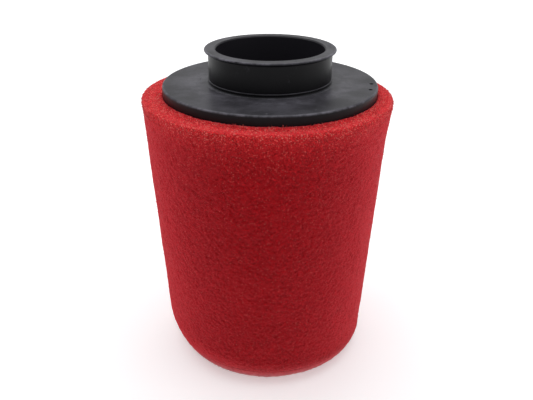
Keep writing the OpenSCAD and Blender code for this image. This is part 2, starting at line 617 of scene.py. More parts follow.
class Effects:
    """Shader node groups that several finishes share, each built once."""

    _built: dict[str, bpy.types.NodeTree] = {}

    @classmethod
    def _group(
        cls, name: str, inputs: dict[str, float], outputs: tuple[str, ...]
    ) -> tuple[NodeTree, bpy.types.Node]:
        """Starts a node group with float inputs and outputs.

        Args:
            name: Name of the group.
            inputs: Its inputs by name, with their first values.
            outputs: Names of its outputs.

        Returns:
            The group's node kit and the node that gives its inputs.
        """
        tree = bpy.data.node_groups.new(name, "ShaderNodeTree")
        for key, value in inputs.items():
            socket = tree.interface.new_socket(key, in_out="INPUT", socket_type="NodeSocketFloat")
            socket.default_value = value
        for key in outputs:
            tree.interface.new_socket(key, in_out="OUTPUT", socket_type="NodeSocketFloat")
        kit = NodeTree(tree)
        cls._built[name] = tree
        return kit, kit.add("NodeGroupInput")

    @classmethod
    def cell_web(cls) -> bpy.types.NodeTree:
        """Open foam cells: a web of struts round small pores, with glints and soft patches.

        Returns:
            The group, whose glints gather where its Cut input is high.
        """
        if "cell_web" in cls._built:
            return cls._built["cell_web"]
        given_values = {"Pore": 0.0, "Cut": 0.0, "Cells per metre": 1000.0}
        kit, given = cls._group("cell_web", given_values, ("Web", "Glint", "Patch"))
        place = kit.place()
        warp = kit.add("TexNoise", None, {"Vector": place, "Scale": 600.0, "Detail": 2.0}).outputs["Color"]
        flat = kit.add("Mapping", None, {"Vector": place, "Scale": (1.0, 1.0, 1.3)}).outputs[0]
        reach = (0.9 * MM,) * 3
        shift = kit.add("VectorMath", {"operation": "MULTIPLY_ADD"}, {0: warp, 1: reach, 2: flat})
        small = kit.add(
            "TexVoronoi",
            {"feature": "DISTANCE_TO_EDGE"},
            {"Vector": shift.outputs[0], "Scale": given.outputs["Cells per metre"]},
        ).outputs["Distance"]
        strut = kit.ramp(small, 0.02, 0.22, 1.0, 0.0)
        ridge = kit.ramp(given.outputs["Pore"], 0.05, 0.75, 1.0, 0.0)
        web = kit.scaled(strut, 0.8, kit.maths("MULTIPLY", ridge, 0.2))
        draw, from_middle = kit.cells(place, 1250.0)
        rare = kit.ramp(kit.scaled(given.outputs["Cut"], 0.42, draw), 0.72, 1.1)
        spot = kit.ramp(from_middle, 0.2, 0.5, 1.0, 0.0)
        glint = kit.maths("MULTIPLY", rare, spot)
        kit.add("NodeGroupOutput", None, {"Web": web, "Glint": glint, "Patch": kit.noise(place, 45.0, 3.0)})
        return kit.tree

    @classmethod
    def handling(cls) -> bpy.types.NodeTree:
        """Marks of handling: a film of dust on upward faces that also stands in for painted top light, small
        scuffs and a slow change of gloss.

        Returns:
            The group.
        """
        if "handling" in cls._built:
            return cls._built["handling"]
        kit, given = cls._group("handling", {"Scuffs per metre": 120.0}, ("Dust_and_top_light", "Scuff", "Smear"))
        place = kit.place()
        up = kit.add("SeparateXYZ", None, {0: kit.add("NewGeometry").outputs["Normal"]}).outputs["Z"]
        cloud = kit.noise(place, 60.0, 4.0, 0.6)
        speckle = kit.ramp(kit.noise(place, 1500.0, 3.0, 0.7), 0.3, 0.7, 0.72, 1.2)
        film = kit.maths("MULTIPLY", kit.ramp(cloud, 0.32, 0.68, 0.36, 1.06), speckle)
        # Lighter on upward faces: partly dust, partly painted top light.
        dust_and_top_light = kit.maths("MULTIPLY", kit.ramp(up, 0.2, 0.95), film, True)
        slant = {"Vector": place, "Rotation": (0.3, 0.2, 0.9), "Scale": (1.0, 0.16, 0.5)}
        streak = kit.add("Mapping", None, slant).outputs[0]
        lines = kit.noise(streak, given.outputs["Scuffs per metre"], 5.0, 0.7)
        scuff = kit.ramp(lines, 0.62, 0.74)
        kit.add("NodeGroupOutput", None, {"Dust_and_top_light": dust_and_top_light, "Scuff": scuff, "Smear": kit.noise(place, 22.0, 2.0)})
        return kit.tree

    @classmethod
    def spot(cls) -> bpy.types.NodeTree:
        """One small uneven mark at a place given in metres.

        Returns:
            The group.
        """
        if "spot" in cls._built:
            return cls._built["spot"]
        kit, given = cls._group("spot", {"X": 0.0, "Y": 0.0, "Z": 0.0, "Size": 0.001}, ("Mark",))
        place = kit.place()
        centre = kit.add("CombineXYZ", None, {axis: given.outputs[axis] for axis in "XYZ"}).outputs[0]
        away = kit.add("VectorMath", {"operation": "DISTANCE"}, {0: place, 1: centre}).outputs["Value"]
        uneven = kit.scaled(kit.noise(place, 900.0, 3.0), 1.2 * MM, away)
        reach = kit.maths("ADD", given.outputs["Size"], 0.6 * MM)
        kit.add("NodeGroupOutput", None, {"Mark": kit.ramp(uneven, 0.4 * MM, reach, 1.0, 0.0)})
        return kit.tree

    @classmethod
    def edge_rub(cls) -> bpy.types.NodeTree:
        """Rubbed patches along a round edge, found by their distance from that edge.

        Returns:
            The group.
        """
        if "edge_rub" in cls._built:
            return cls._built["edge_rub"]
        given_values = {"Edge radius": 0.05, "Edge height": 0.16, "Width": 0.001}
        kit, given = cls._group("edge_rub", given_values, ("Rub",))
        place = kit.place()
        height = kit.add("SeparateXYZ", None, {0: place}).outputs["Z"]
        out = kit.maths("SUBTRACT", kit.from_axis(place), given.outputs["Edge radius"])
        up = kit.maths("SUBTRACT", height, given.outputs["Edge height"])
        off = kit.add("CombineXYZ", None, {"X": out, "Y": up})
        away = kit.add("VectorMath", {"operation": "LENGTH"}, {0: off.outputs[0]}).outputs["Value"]
        near = kit.ramp(away, 0.0, given.outputs["Width"], 1.0, 0.0)
        broken = kit.ramp(kit.noise(place, 200.0, 4.0, 0.65), 0.4, 0.66, 0.3, 1.0)
        kit.add("NodeGroupOutput", None, {"Rub": kit.maths("MULTIPLY", near, broken)})
        return kit.tree


@dataclass(frozen=True)
class Surface:
    """The plain values of a finish, set on the shader itself."""

    roughness: float = 0.5
    metallic: float = 0.0
    specular: float = 0.5
    sheen: float = 0.0
    sheen_roughness: float = 0.5
    sheen_tint: Colour = (1.0, 1.0, 1.0)

    def start(self, name: str) -> tuple[bpy.types.Material, NodeTree, bpy.types.Node]:
        """Makes a material with its shader and output in place.

        Args:
            name: Name of the material.

        Returns:
            The material, its node kit and its shader.
        """
        material = bpy.data.materials.new(name)
        material.use_nodes = True
        kit = NodeTree(material.node_tree)
        shader = kit.add(
            "BsdfPrincipled",
            None,
            {
                "Roughness": self.roughness,
                "Metallic": self.metallic,
                "Specular IOR Level": self.specular,
                "Sheen Weight": self.sheen,
                "Sheen Roughness": self.sheen_roughness,
                "Sheen Tint": (*self.sheen_tint, 1.0),
            },
        )
        kit.add("OutputMaterial", None, {"Surface": shader.outputs[0]})
        return material, kit, shader

    @staticmethod
    def wire(kit: NodeTree, shader: bpy.types.Node, links: dict[str, object]) -> None:
        """Joins node outputs to the shader's inputs by name."""
        for key, value in links.items():
            kit.tree.links.new(value, shader.inputs[key])

    @staticmethod
    def bump(
        kit: NodeTree, height: object, strength: float, distance: float, below: object = None
    ) -> bpy.types.NodeSocket:
        """The normal that a height gives.

        Args:
            kit: The material's node kit.
            height: Socket with the height.
            strength: How much of the height shows.
            distance: Height of a full step, in metres.
            below: A normal that this one adds to.

        Returns:
            The normal's socket.
        """
        node = kit.add("Bump", None, {"Strength": strength, "Distance": distance, "Height": height})
        if below is not None:
            kit.tree.links.new(below, node.inputs["Normal"])
        return node.outputs["Normal"]


@dataclass(frozen=True)
class FoamFinish:
    """Open-cell foam, lighter along its struts, with painted shade in its pores, painted rim light at grazing
    angles, painted top light near the cut rim, painted glints and a painted pale backlit fringe at its foot.
    """

    name: str
    pore: Colour
    strut: Colour
    top_light_near_rim: Colour
    backlit_fringe_colour: Colour
    rim_light: Colour
    glint: Colour
    cells: float
    glint_amount: float
    surface: Surface

    def build(self) -> bpy.types.Material:
        """Makes the material.

        Returns:
            The new material.
        """
        material, kit, shader = self.surface.start(self.name)
        place = kit.place()
        cut = kit.carried("cut")
        given = {"Pore": kit.carried("pore"), "Cut": cut, "Cells per metre": self.cells}
        cells = kit.group(Effects.cell_web(), given)
        web = cells.outputs["Web"]
        dim = tuple(c * 0.75 for c in self.strut)
        # Darker in the pores: the pore colour is painted shade in the open cells.
        colour = kit.mix(web, self.pore, self.strut)
        colour = kit.mix(kit.ramp(cells.outputs["Patch"], 0.3, 0.75, 0.35, 0.0), colour, dim)
        # Painted rim light: the colour turns paler red where the surface is seen at a grazing angle.
        facing = kit.add("LayerWeight", None, {"Blend": 0.5}).outputs["Facing"]
        colour = kit.mix(kit.ramp(facing, 0.1, 1.0, 0.0, 0.76), colour, self.rim_light)
        # Painted top light: near the cut rim the colour is lifted towards a bright red, as if lit from above.
        edge = kit.maths("MULTIPLY", cut, kit.ramp(web, 0.1, 0.75, 0.12, 1.0))
        colour = kit.mix(edge, colour, self.top_light_near_rim)
        # Painted backlit paleness at the foot, where light from the white floor shows through the fringe.
        broken = kit.ramp(kit.noise(place, 800.0, 3.0), 0.34, 0.6, 0.45, 1.0)
        colour = kit.mix(kit.maths("MULTIPLY", kit.carried("backlit_fringe"), broken), colour, self.backlit_fringe_colour)
        # Painted glints, gathered most thickly near the cut rim.
        more = kit.scaled(kit.maths("POWER", cut, 2.0), self.glint_amount * 2, self.glint_amount)
        colour = kit.mix(kit.maths("MULTIPLY", cells.outputs["Glint"], more, True), colour, self.glint)
        rough = kit.ramp(web, 0.0, 1.0, 0.95, 0.5)
        normal = Surface.bump(kit, web, 0.75, 0.4 * MM)
        Surface.wire(kit, shader, {"Base Color": colour, "Roughness": rough, "Normal": normal})
        return material


@dataclass(frozen=True)
class StrutFinish:
    """Single struts of foam, smooth and glossy enough to glint, with painted top light and painted glints on
    their tips near the cut rim and painted backlit paleness near the foot.
    """

    name: str
    dark: Colour
    light: Colour
    tip: Colour
    backlit_fringe: Colour
    surface: Surface

    def build(self) -> bpy.types.Material:
        """Makes the material.

        Returns:
            The new material.
        """
        material, kit, shader = self.surface.start(self.name)
        place = kit.place()
        chance, _ = kit.cells(place, 700.0)
        # Painted top light: the struts are lighter towards the cut rim.
        bright = kit.scaled(kit.carried("cut"), 0.75, 0.25)
        colour = kit.mix(kit.maths("MULTIPLY", chance, bright), self.dark, self.light)
        # Painted glints: a few strut tips take the pale tip colour, mostly near the cut rim.
        tip_glint = kit.maths("MULTIPLY", kit.ramp(chance, 0.75, 0.95, 0.0, 0.9), bright)
        colour = kit.mix(tip_glint, colour, self.tip)
        # Painted backlit paleness on the struts near the foot.
        backlit_share = kit.maths("MULTIPLY", kit.carried("backlit_fringe"), kit.ramp(chance, 0.0, 0.8, 0.4, 1.0))
        colour = kit.mix(backlit_share, colour, self.backlit_fringe)
        rough = kit.ramp(chance, 0.0, 1.0, 0.5, 0.22)
        normal = Surface.bump(kit, kit.noise(place, 3000.0, 2.0), 0.3, 0.03 * MM)
        Surface.wire(kit, shader, {"Base Color": colour, "Roughness": rough, "Normal": normal})
        return material


@dataclass(frozen=True)
class RubberFinish:
    """Moulded black rubber with a fine grain, smears, light dust on top that doubles as painted top light,
    rubbed edges that also carry a painted edge highlight, and painted light inside the bore.
    """

    name: str
    base: Colour
    dust_and_top_light_tone: Colour
    lip_edge: tuple[float, float]
    disc_edge: tuple[float, float]
    neck_foot: tuple[float, float]
    bore_r: float
    light_marks: tuple[Mark, ...]
    dark_marks: tuple[Mark, ...]
    surface: Surface
    rub_and_highlight_width: float = 1.3 * MM
    foot_width: float = 11.0 * MM

    @staticmethod
    def marks(kit: NodeTree, places: tuple[Mark, ...]) -> bpy.types.NodeSocket:
        """Several small marks as one mask.

        Args:
            kit: The material's node kit.
            places: Place and size of each mark, in metres.

        Returns:
            The strongest of the marks at each point.
        """
        total = None
        for place in places:
            given = dict(zip(("X", "Y", "Z", "Size"), place))
            mark = kit.group(Effects.spot(), given).outputs["Mark"]
            total = mark if total is None else kit.maths("MAXIMUM", total, mark)
        return total

    @staticmethod
    def rub(kit: NodeTree, edge: tuple[float, float], width: float) -> bpy.types.NodeSocket:
        """Rubbed patches along one round edge.

        Args:
            kit: The material's node kit.
            edge: The edge's radius and height.
            width: How far the patches reach from the edge.

        Returns:
            The mask of the patches.
        """
        given = {"Edge radius": edge[0], "Edge height": edge[1], "Width": width}
        return kit.group(Effects.edge_rub(), given).outputs["Rub"]

    def build(self) -> bpy.types.Material:
        """Makes the material.

        Returns:
            The new material.
        """
        material, kit, shader = self.surface.start(self.name)
        place = kit.place()
        marks = kit.group(Effects.handling(), {"Scuffs per metre": 150.0})
        dust_and_top_light, scuff = marks.outputs["Dust_and_top_light"], marks.outputs["Scuff"]
        # Rubbed patches along the lip and disc edges, which also paint the highlight line along those edges.
        edges = (self.rub(kit, edge, self.rub_and_highlight_width) for edge in (self.lip_edge, self.disc_edge))
        rub_and_edge_highlight = kit.maths("MAXIMUM", *edges)
        chalky = tuple(c * 2.0 for c in self.dust_and_top_light_tone)
        pale_mark_and_highlight = tuple(c * 3.4 for c in self.dust_and_top_light_tone)
        bloom = kit.maths("MULTIPLY", dust_and_top_light, kit.ramp(kit.noise(place, 38.0, 5.0, 0.65), 0.52, 0.75))
        settled = kit.maths("MULTIPLY", self.rub(kit, self.neck_foot, self.foot_width), dust_and_top_light)
        reach = kit.from_axis(place)
        # Painted light: the inside of the bore is lifted to four times the plain rubber colour.
        inside = kit.ramp(reach, self.bore_r + 0.3 * MM, self.bore_r + 0.8 * MM, 1.0, 0.0)
        # Dust on top, which also paints the light that falls on the upward faces.
        colour = kit.mix(kit.maths("MULTIPLY", dust_and_top_light, 0.95), self.base, self.dust_and_top_light_tone)
        layers = (
            (kit.maths("MULTIPLY", bloom, 0.5), chalky),
            (kit.maths("MULTIPLY", settled, 0.9), chalky),
            (inside, tuple(c * 4.0 for c in self.base)),
            (kit.maths("MULTIPLY", scuff, 0.35), self.dust_and_top_light_tone),
            (kit.maths("MULTIPLY", rub_and_edge_highlight, 0.85), pale_mark_and_highlight),
            (self.marks(kit, self.light_marks), pale_mark_and_highlight),
            (self.marks(kit, self.dark_marks), (0.001, 0.001, 0.001)),
        )
        for mask, layer in layers:
            colour = kit.mix(mask, colour, layer)
        rough = kit.scaled(marks.outputs["Smear"], 0.3, self.surface.roughness - 0.15)
        rough = kit.scaled(scuff, 0.15, rough)
        grain = Surface.bump(kit, kit.noise(place, 2600.0, 2.0), 0.25, 0.05 * MM)
        waves = Surface.bump(kit, kit.noise(place, 95.0, 2.0), 0.3, 0.25 * MM, grain)
        Surface.wire(kit, shader, {"Base Color": colour, "Roughness": rough, "Normal": waves})
        return material


@dataclass(frozen=True)
class SteelFinish:
    """Zinc-plated steel with drawing lines, soft spangle and dull patches."""

    name: str
    bright: Colour
    dull: Colour
    lines: float
    surface: Surface

    def build(self) -> bpy.types.Material:
        """Makes the material.

        Returns:
            The new material.
        """
        material, kit, shader = self.surface.start(self.name)
        place = kit.place()
        scuff = kit.group(Effects.handling(), {"Scuffs per metre": 300.0}).outputs["Scuff"]
        spangle, _ = kit.cells(place, 260.0)
        cloud = kit.ramp(kit.noise(place, 130.0, 4.0), 0.35, 0.7)
        dullness = kit.scaled(spangle, 0.35, kit.maths("MULTIPLY", cloud, 0.5))
        colour = kit.mix(dullness, self.bright, self.dull)
        rough = kit.scaled(scuff, 0.25, kit.ramp(cloud, 0.0, 1.0, 0.28, 0.46))
        stretched = kit.add("Mapping", None, {"Vector": place, "Scale": (1.0, 1.0, self.lines)})
        normal = Surface.bump(kit, kit.noise(stretched.outputs[0], 1800.0, 3.0), 0.35, 0.04 * MM)
        Surface.wire(kit, shader, {"Base Color": colour, "Roughness": rough, "Normal": normal})
        return material


@dataclass(frozen=True)
class GlueFinish:
    """Dried contact glue, glossy where it is thick and cloudy where it is thin."""

    name: str
    clear: Colour
    cloudy: Colour
    surface: Surface

    def build(self) -> bpy.types.Material:
        """Makes the material.

        Returns:
            The new material.
        """
        material, kit, shader = self.surface.start(self.name)
        place = kit.place()
        cloud = kit.noise(place, 420.0, 4.0, 0.6)
        colour = kit.mix(kit.ramp(cloud, 0.35, 0.7), self.clear, self.cloudy)
        rough = kit.ramp(cloud, 0.3, 0.7, 0.25, 0.6)
        normal = Surface.bump(kit, kit.noise(place, 900.0, 3.0), 0.5, 0.15 * MM)
        Surface.wire(kit, shader, {"Base Color": colour, "Roughness": rough, "Normal": normal})
        return material


@dataclass(frozen=True)
class FloorFinish:
    """Pale studio paper with the faintest grain."""

    name: str
    pale: Colour
    paler: Colour
    glow: float
    far_glow: float
    surface: Surface

    def build(self) -> bpy.types.Material:
        """Makes the material.

        Returns:
            The new material.
        """
        material, kit, shader = self.surface.start(self.name)
        place = kit.place()
        colour = kit.mix(kit.noise(place, 7.0, 3.0), self.pale, self.paler)
        normal = Surface.bump(kit, kit.noise(place, 900.0, 3.0), 0.1, 0.1 * MM)
        away = kit.add("VectorMath", {"operation": "LENGTH"}, {0: place}).outputs["Value"]
        glow = kit.ramp(away, 0.35, 1.3, self.glow, self.far_glow)
        Surface.wire(kit, shader, {"Base Color": colour, "Normal": normal, "Emission Color": glow})
        shader.inputs["Emission Strength"].default_value = 1.0
        return material


# --------------------------------------------------------------------------- pieces


@dataclass(frozen=True)
class CellRelief:
    """The shape of a foam's surface: its open cells, soft lumps and uneven points.

    Attributes:
        cell: Distance between the middles of neighbouring cells, in metres.
        depth: Depth of a cell.
        wander: How far a point may stray from its even place.
        lumps: Height of the soft lumps.
        lump_size: Distance over which the lumps change.
        salt: Picks one of many unrelated patterns.
    """

    cell: float
    depth: float
    wander: float
    lumps: float
    lump_size: float
    salt: int

    def sink(self, points: np.ndarray) -> tuple[np.ndarray, np.ndarray]:
        """How far each point lies below the smooth surface.

        Args:
            points: Points on the smooth surface, of shape (n, 3).

        Returns:
            The depth below the surface in metres, and how deep in a pore the point is, from 0 to 1.
        """
        pore = Scatter.pores(points, self.cell, self.salt)
        rough = Scatter.smooth(points, self.cell * 0.6, self.salt + 5)
        small_lumps = Scatter.smooth(points, self.lump_size / 3, self.salt + 7)
        lumps = Scatter.smooth(points, self.lump_size, self.salt + 6) + 0.5 * small_lumps
        return self.depth * (pore + 0.35 * rough) + self.lumps * lumps, pore

    def stray(self, count: int, row: int, salt: int) -> np.ndarray:
        """Uneven steps for a row's points, from minus to plus the wander."""
        cells = np.stack([np.arange(count), np.full(count, row), np.full(count, salt)], 1)
        return (Scatter.hashed(cells, self.salt + salt) * 2 - 1) * self.wander


@dataclass
class CoarseSock:
    """The coarse red foam sock: its wall, its rounded end, the seam at its back and its glue.

    The sock leans a little, and what has a right and a left value changes smoothly between them.
    """

    sizes: FilterSizes
    around: int = 450
    shift_x: float = -1.95 * MM
    foot_shift: float = -0.7 * MM
    swell: float = 1.2 * MM
    swell_width: float = 1.6 * MM
    right_corner: float = 10.7 * MM
    left_corner: float = 24.0 * MM
    right_reach: float = 10.5 * MM
    left_reach: float = 10.8 * MM
    right_curve: float = 2.0
    left_curve: float = 1.45
    cut_fade: float = 6.6 * MM
    backlit_fringe_height: float = 7.2 * MM
    flare: float = 1.4 * MM
    flare_height: float = 14 * MM
    right_rim: float = 2.4 * MM
    left_rim: float = 1.0 * MM
    seam_width: float = 1.5 * MM
    seam_depth: float = 1.0 * MM
    seam_points: int = 120
    ring_points: int = 220
    row_closeness: float = 0.94
    joint_gap: float = 0.02 * MM
    plain_pore: float = 0.3
    plain_backlit_fringe: float = 0.3
    relief: CellRelief = CellRelief(1.1 * MM, 0.3 * MM, 0.26 * MM, 0.18 * MM, 17 * MM, 11)

    def skin_radius(self, z: np.ndarray, angle: np.ndarray) -> np.ndarray:
        """Radius of the soft outer skin, which leans a little and is fuller on one side.

        Args:
            z: Height in metres.
            angle: Angle round the neck axis in radians.

        Returns:
            The radius in metres.
        """
        s = self.sizes
        corner = self.from_side(angle, self.right_corner, self.left_corner)
        reach = self.from_side(angle, self.right_reach, self.left_reach)
        curve = self.from_side(angle, self.right_curve, self.left_curve)
        under = np.clip((corner - z) / corner, 0, 1)
        tuck = reach * (1 - (1 - under**curve) ** (1 / curve))
        side = np.maximum(np.cos(angle), 0) ** 2
        flare = self.flare * side * bell(s.rim - z, self.flare_height)
        pinch = self.seam_depth * bell(turn_between(angle, s.seam_angle) * s.disc_r, self.seam_width)
        lean = self.shift_x + self.foot_shift * under
        return s.skin.at(z) + lean * np.cos(angle) - tuck + flare - pinch

    def rim_inset(self, z: np.ndarray, angle: np.ndarray) -> np.ndarray:
        """How far the rounding of the rim brings the skin in.

        Args:
            z: Height in metres.
            angle: Angle round the neck axis in radians.

        Returns:
            The distance in metres.
        """
        bend = self.from_side(angle, self.right_rim, self.left_rim)
        up = np.clip((z - self.sizes.rim) / bend + 1, 0, 1)
        return bend * (1 - np.sqrt(1 - up**2))

    def backlit_fringe_at(self, height: np.ndarray) -> np.ndarray:
        """How much painted backlit paleness the skin gets at a height, from 1 at the floor to 0 up the wall.
        """
        return bell(height, self.backlit_fringe_height)

    def cut_near(self, height: np.ndarray) -> np.ndarray:
        """How near the rim's cut edge a height is, from 1 at the rim down to 0."""
        return np.exp(-np.maximum(self.sizes.rim - height, 0) / self.cut_fade)

    @staticmethod
    def from_side(angle: np.ndarray, right: float, left: float) -> np.ndarray:
        """A value that changes smoothly round the foam, from its right side to its left."""
        return (right + left) / 2 + (right - left) / 2 * np.cos(angle)

    def wall_rows(self) -> list[tuple[str, float, float]]:
        """Rows of the wall, from its foot up the outside, over the rim and down the inside.

        Returns:
            For each row its kind, its height, and how far it has come across the rim, from 0 to 1.
        """
        s = self.sizes
        step = 2 * math.pi * s.skin.high_r / self.around * SQRT3 / 2 * self.row_closeness
        foot = s.end_joint + self.joint_gap
        bend = max(self.right_rim, self.left_rim)
        count = int((s.rim - bend - foot) / step) // 2 * 2
        rows = [("side", foot + (s.rim - bend - foot) * k / count, 0.0) for k in range(count + 1)]
        rows += [("side", s.rim - bend * (1 - math.sin(a)), 0.0) for a in np.radians([18, 36, 54, 72, 90])]
        top = int((s.coarse_wall - bend) / step)
        rows += [("top", s.rim, k / top) for k in range(1, top + 1)]
        rows += [("inside", z, 0.0) for z in np.linspace(s.rim - 3 * MM, foot, 12)]
        return rows

    def build_wall(self, material: bpy.types.Material) -> None:
        """Models the wall with its open cells and dresses it.

        Args:
            material: The coarse foam's finish.
        """
        s = self.sizes
        inner = s.skin.inset(s.coarse_wall)
        sheet = RingSheet()
        for row, (kind, z, across) in enumerate(self.wall_rows()):
            angle = RingSheet.angles(self.around, row)
            if kind == "inside":
                sheet.add(polar(inner.at(z), angle, z), self.plain_pore)
                continue
            turned = angle + self.relief.stray(self.around, row, 1) / s.skin.high_r
            height = np.full(self.around, z)
            if kind == "side":
                height = height + self.relief.stray(self.around, row, 2) * min(1.0, (s.rim - z) / MM)
            edge = self.skin_radius(height, turned) - self.rim_inset(height, turned)
            radius = edge + (inner.at(z) - edge) * across
            sink, pore = self.relief.sink(polar(radius, turned, height))
            cut = self.cut_near(height)
            if kind == "side":
                radius = radius - sink * min(1.0, (z - s.end_joint) / (2 * MM))
            else:
                height = height - sink + self.swell * bell(radius - inner.at(z), self.swell_width)
            sheet.add(polar(radius, turned, height), pore, cut, self.backlit_fringe_at(height))
        wall = sheet.build("coarse_foam_wall", closed=True)
        Piece.dress(wall, material, Body.SOCK, "coarse_foam", ("outer_foam_sleeve",))

    def build_end(self, material: bpy.types.Material) -> None:
        """Models the rounded closed end and dresses it.

        Args:
            material: The coarse foam's finish.
        """
        s = self.sizes
        sheet = RingSheet()
        turns = 26
        rows = [("face", 90, 0.2), ("face", 180, 0.5), ("face", 300, 0.8), ("face", self.around, 0.985)]
        rows += [("skin", self.around, k / turns) for k in range(turns + 1)]
        rows += [("under", self.around, 1 - 0.02 * k) for k in range(1, 15)]
        rows += [("under", 300, 0.71 - 0.025 * k) for k in range(13)]
        rows += [("under", 150, 0.38 - 0.04 * k) for k in range(7)]
        rows += [("under", 60, 0.09), ("under", 24, 0.04)]
        for row, (kind, count, place) in enumerate(rows):
            angle = RingSheet.angles(count, row)
            corner = self.from_side(angle, self.right_corner, self.left_corner)
            height = np.zeros(count)
            if kind == "skin":
                top = np.minimum(corner, s.end_joint)
                start = np.arcsin(np.clip((corner - top) / corner, 0, 1))
                turn = start + (math.pi / 2 - start) * place
                height = corner * (1 - np.sin(turn)) + (s.end_joint - top) * (1 - place)
                radius = self.skin_radius(height, angle)
            elif kind == "face":
                height = height + s.end_joint
                radius = self.skin_radius(height, angle) * place
            else:
                radius = self.skin_radius(height, angle) * place
            sink, pore = self.relief.sink(polar(radius, angle, height))
            if kind == "face":
                pore = self.plain_pore
            elif kind == "skin":
                radius = radius - sink * math.cos(place * math.pi / 2) * min(1.0, place * 6)
                height = height + np.abs(sink) * math.sin(place * math.pi / 2)
            else:
                height = height + np.abs(sink)
            backlit_fringe = self.backlit_fringe_at(height) if kind == "skin" else self.plain_backlit_fringe
            sheet.add(polar(radius, angle, height), pore, 0.0, backlit_fringe)
        end = sheet.build("coarse_foam_end", closed=False)
        Piece.dress(end, material, Body.SOCK, "coarse_foam", ("outer_foam_end",))

    def build_glue(self, material: bpy.types.Material) -> None:
        """Models the glue in the seam at the back and under the wall's foot.

        Args:
            material: The finish of glue that has soaked into the red foam.
        """
        s = self.sizes
        foot = s.end_joint + s.glue
        heights = np.linspace(foot + 0.5 * MM, s.rim - 1.0 * MM, self.seam_points)
        centre = self.skin_radius(heights, np.full(self.seam_points, s.seam_angle)) - 0.35 * MM
        path = polar(centre, s.seam_angle, heights)
        seam = GlueBead(0.75 * MM, 0.18 * MM, 8, 21).along("coarse_seam_glue", path, looped=False)
        Piece.dress(seam, material, Body.SOCK, "coarse_glue", ("outer_foam_seam",))
        angle = np.linspace(0, 2 * math.pi, self.ring_points, endpoint=False)
        radius = self.skin_radius(np.full(self.ring_points, s.end_joint), angle) - 3.0 * MM
        path = polar(radius, angle, s.end_joint + s.glue / 2)
        ring = GlueBead(0.5 * MM, 0.1 * MM, 8, 22, flat=0.3).along("coarse_end_glue_line", path, looped=True)
        Piece.dress(ring, material, Body.SOCK, "coarse_glue", ("outer_end_glue",))


@dataclass
class CellStruts:
    """Small arches of foam left standing where the sheet was cut, rooted in the sock's skin."""

    sock: CoarseSock
    count: int = 9000
    span: float = 0.95 * MM
    rise: float = 0.5 * MM
    thick: float = 0.085 * MM
    root: float = 0.12 * MM
    off_disc: float = 0.25 * MM
    rim_share: float = 0.42
    top_share: float = 0.6
    foot_share: float = 0.24
    rim_band: float = 5 * MM
    foot_band: float = 12 * MM
    salt: int = 51

    def _draw(self, which: int) -> np.ndarray:
        """One number from 0 to 1 for each arch."""
        cells = np.stack([np.arange(self.count), np.full(self.count, which), np.zeros(self.count)], 1)
        return Scatter.hashed(cells, self.salt)

    def _roots(self) -> tuple[np.ndarray, np.ndarray]:
        """Where each arch stands and which way it points.

        Returns:
            Points on the skin, and the directions out of it, each of shape (count, 3).
        """
        s = self.sock.sizes
        share, place, angle = self._draw(0), self._draw(1), self._draw(2) * 2 * math.pi
        foot = s.end_joint * 0.15
        on_wall = foot + place * (s.rim - foot)
        z = np.where(share < 1 - self.foot_share, on_wall, foot + place**2 * self.foot_band)
        z = np.where(share < self.rim_share, s.rim - self.rim_band * place**1.5, z)
        on_top = share < self.rim_share * self.top_share
        z = np.where(on_top, s.rim, z)
        inner = s.skin.at(s.rim) - s.coarse_wall + self.off_disc
        edge = self.sock.skin_radius(z, angle) - self.sock.rim_inset(z, angle)
        radius = np.where(on_top, inner + (edge - inner) * place, edge)
        point = polar(radius, angle, z)
        step = 0.3 * MM
        beside = self.sock.skin_radius(z + step, angle) - self.sock.rim_inset(z + step, angle)
        tilt = np.where(on_top, math.pi / 2, np.arctan2(edge - beside, step))
        out = polar(np.cos(tilt), angle, np.sin(tilt))
        sink, _ = self.sock.relief.sink(point)
        return point - out * sink[:, None] * 0.8, out

    def build(self, material: bpy.types.Material) -> None:
        """Models all the arches as one piece, each a bent three-sided rod of four rings.

        Args:
            material: The finish of single struts.
        """
        root, out = self._roots()
        across = np.cross(out, np.array([0.0, 0.0, 1.0]) + 0.01 * out[:, [1, 2, 0]])
        across /= np.linalg.norm(across, axis=1)[:, None]
        along = np.cross(out, across)
        turn = self._draw(3) * math.pi
        way = across * np.cos(turn)[:, None] + along * np.sin(turn)[:, None]
        side = np.cross(way, out)
        span = self.span * (0.6 + 0.8 * self._draw(4))
        rise = self.rise * (0.5 + 1.0 * self._draw(5) ** 2)
        reach = np.hypot(root[:, 0], root[:, 1]) - (self.sock.sizes.skin.high_r - self.sock.sizes.coarse_wall)
        beside_disc = bell(reach, self.sock.swell_width) * (out[:, 2] > 0.9)
        root = root + out * (self.sock.swell * beside_disc)[:, None]
        rise = rise * (1 + 0.9 * beside_disc)
        lean = (self._draw(6) - 0.5) * 0.8
        rings = []
        for t in (0.0, 0.3, 0.7, 1.0):
            x = (t - 0.5) * span
            y = rise * math.sin(math.pi * t) - self.root
            middle = root + way * x[:, None] + out * y[:, None] + side * (lean * (y + self.root))[:, None]
            for corner in range(3):
                a = 2 * math.pi * corner / 3
                grow = self.thick * (1.25 if t in (0.0, 1.0) else 0.85)
                rings.append(middle + (out * math.cos(a) + side * math.sin(a)) * grow)
        verts = np.stack(rings, 1).reshape(-1, 3)
        faces = [(0, 1, 2), (11, 10, 9)]
        for low in (0, 3, 6):
            high = low + 3
            for c in range(3):
                n = (c + 1) % 3
                faces += [(low + c, high + c, high + n), (low + c, high + n, low + n)]
        every = np.array(faces)[None] + 12 * np.arange(self.count)[:, None, None]
        height = np.repeat(root[:, 2], 12)
        near = {"cut": self.sock.cut_near(height), "backlit_fringe": self.sock.backlit_fringe_at(height)}
        piece = Piece.from_arrays("coarse_foam_struts", verts, every.reshape(-1, 3), near)
        Piece.dress(piece, material, Body.SOCK, "coarse_foam")


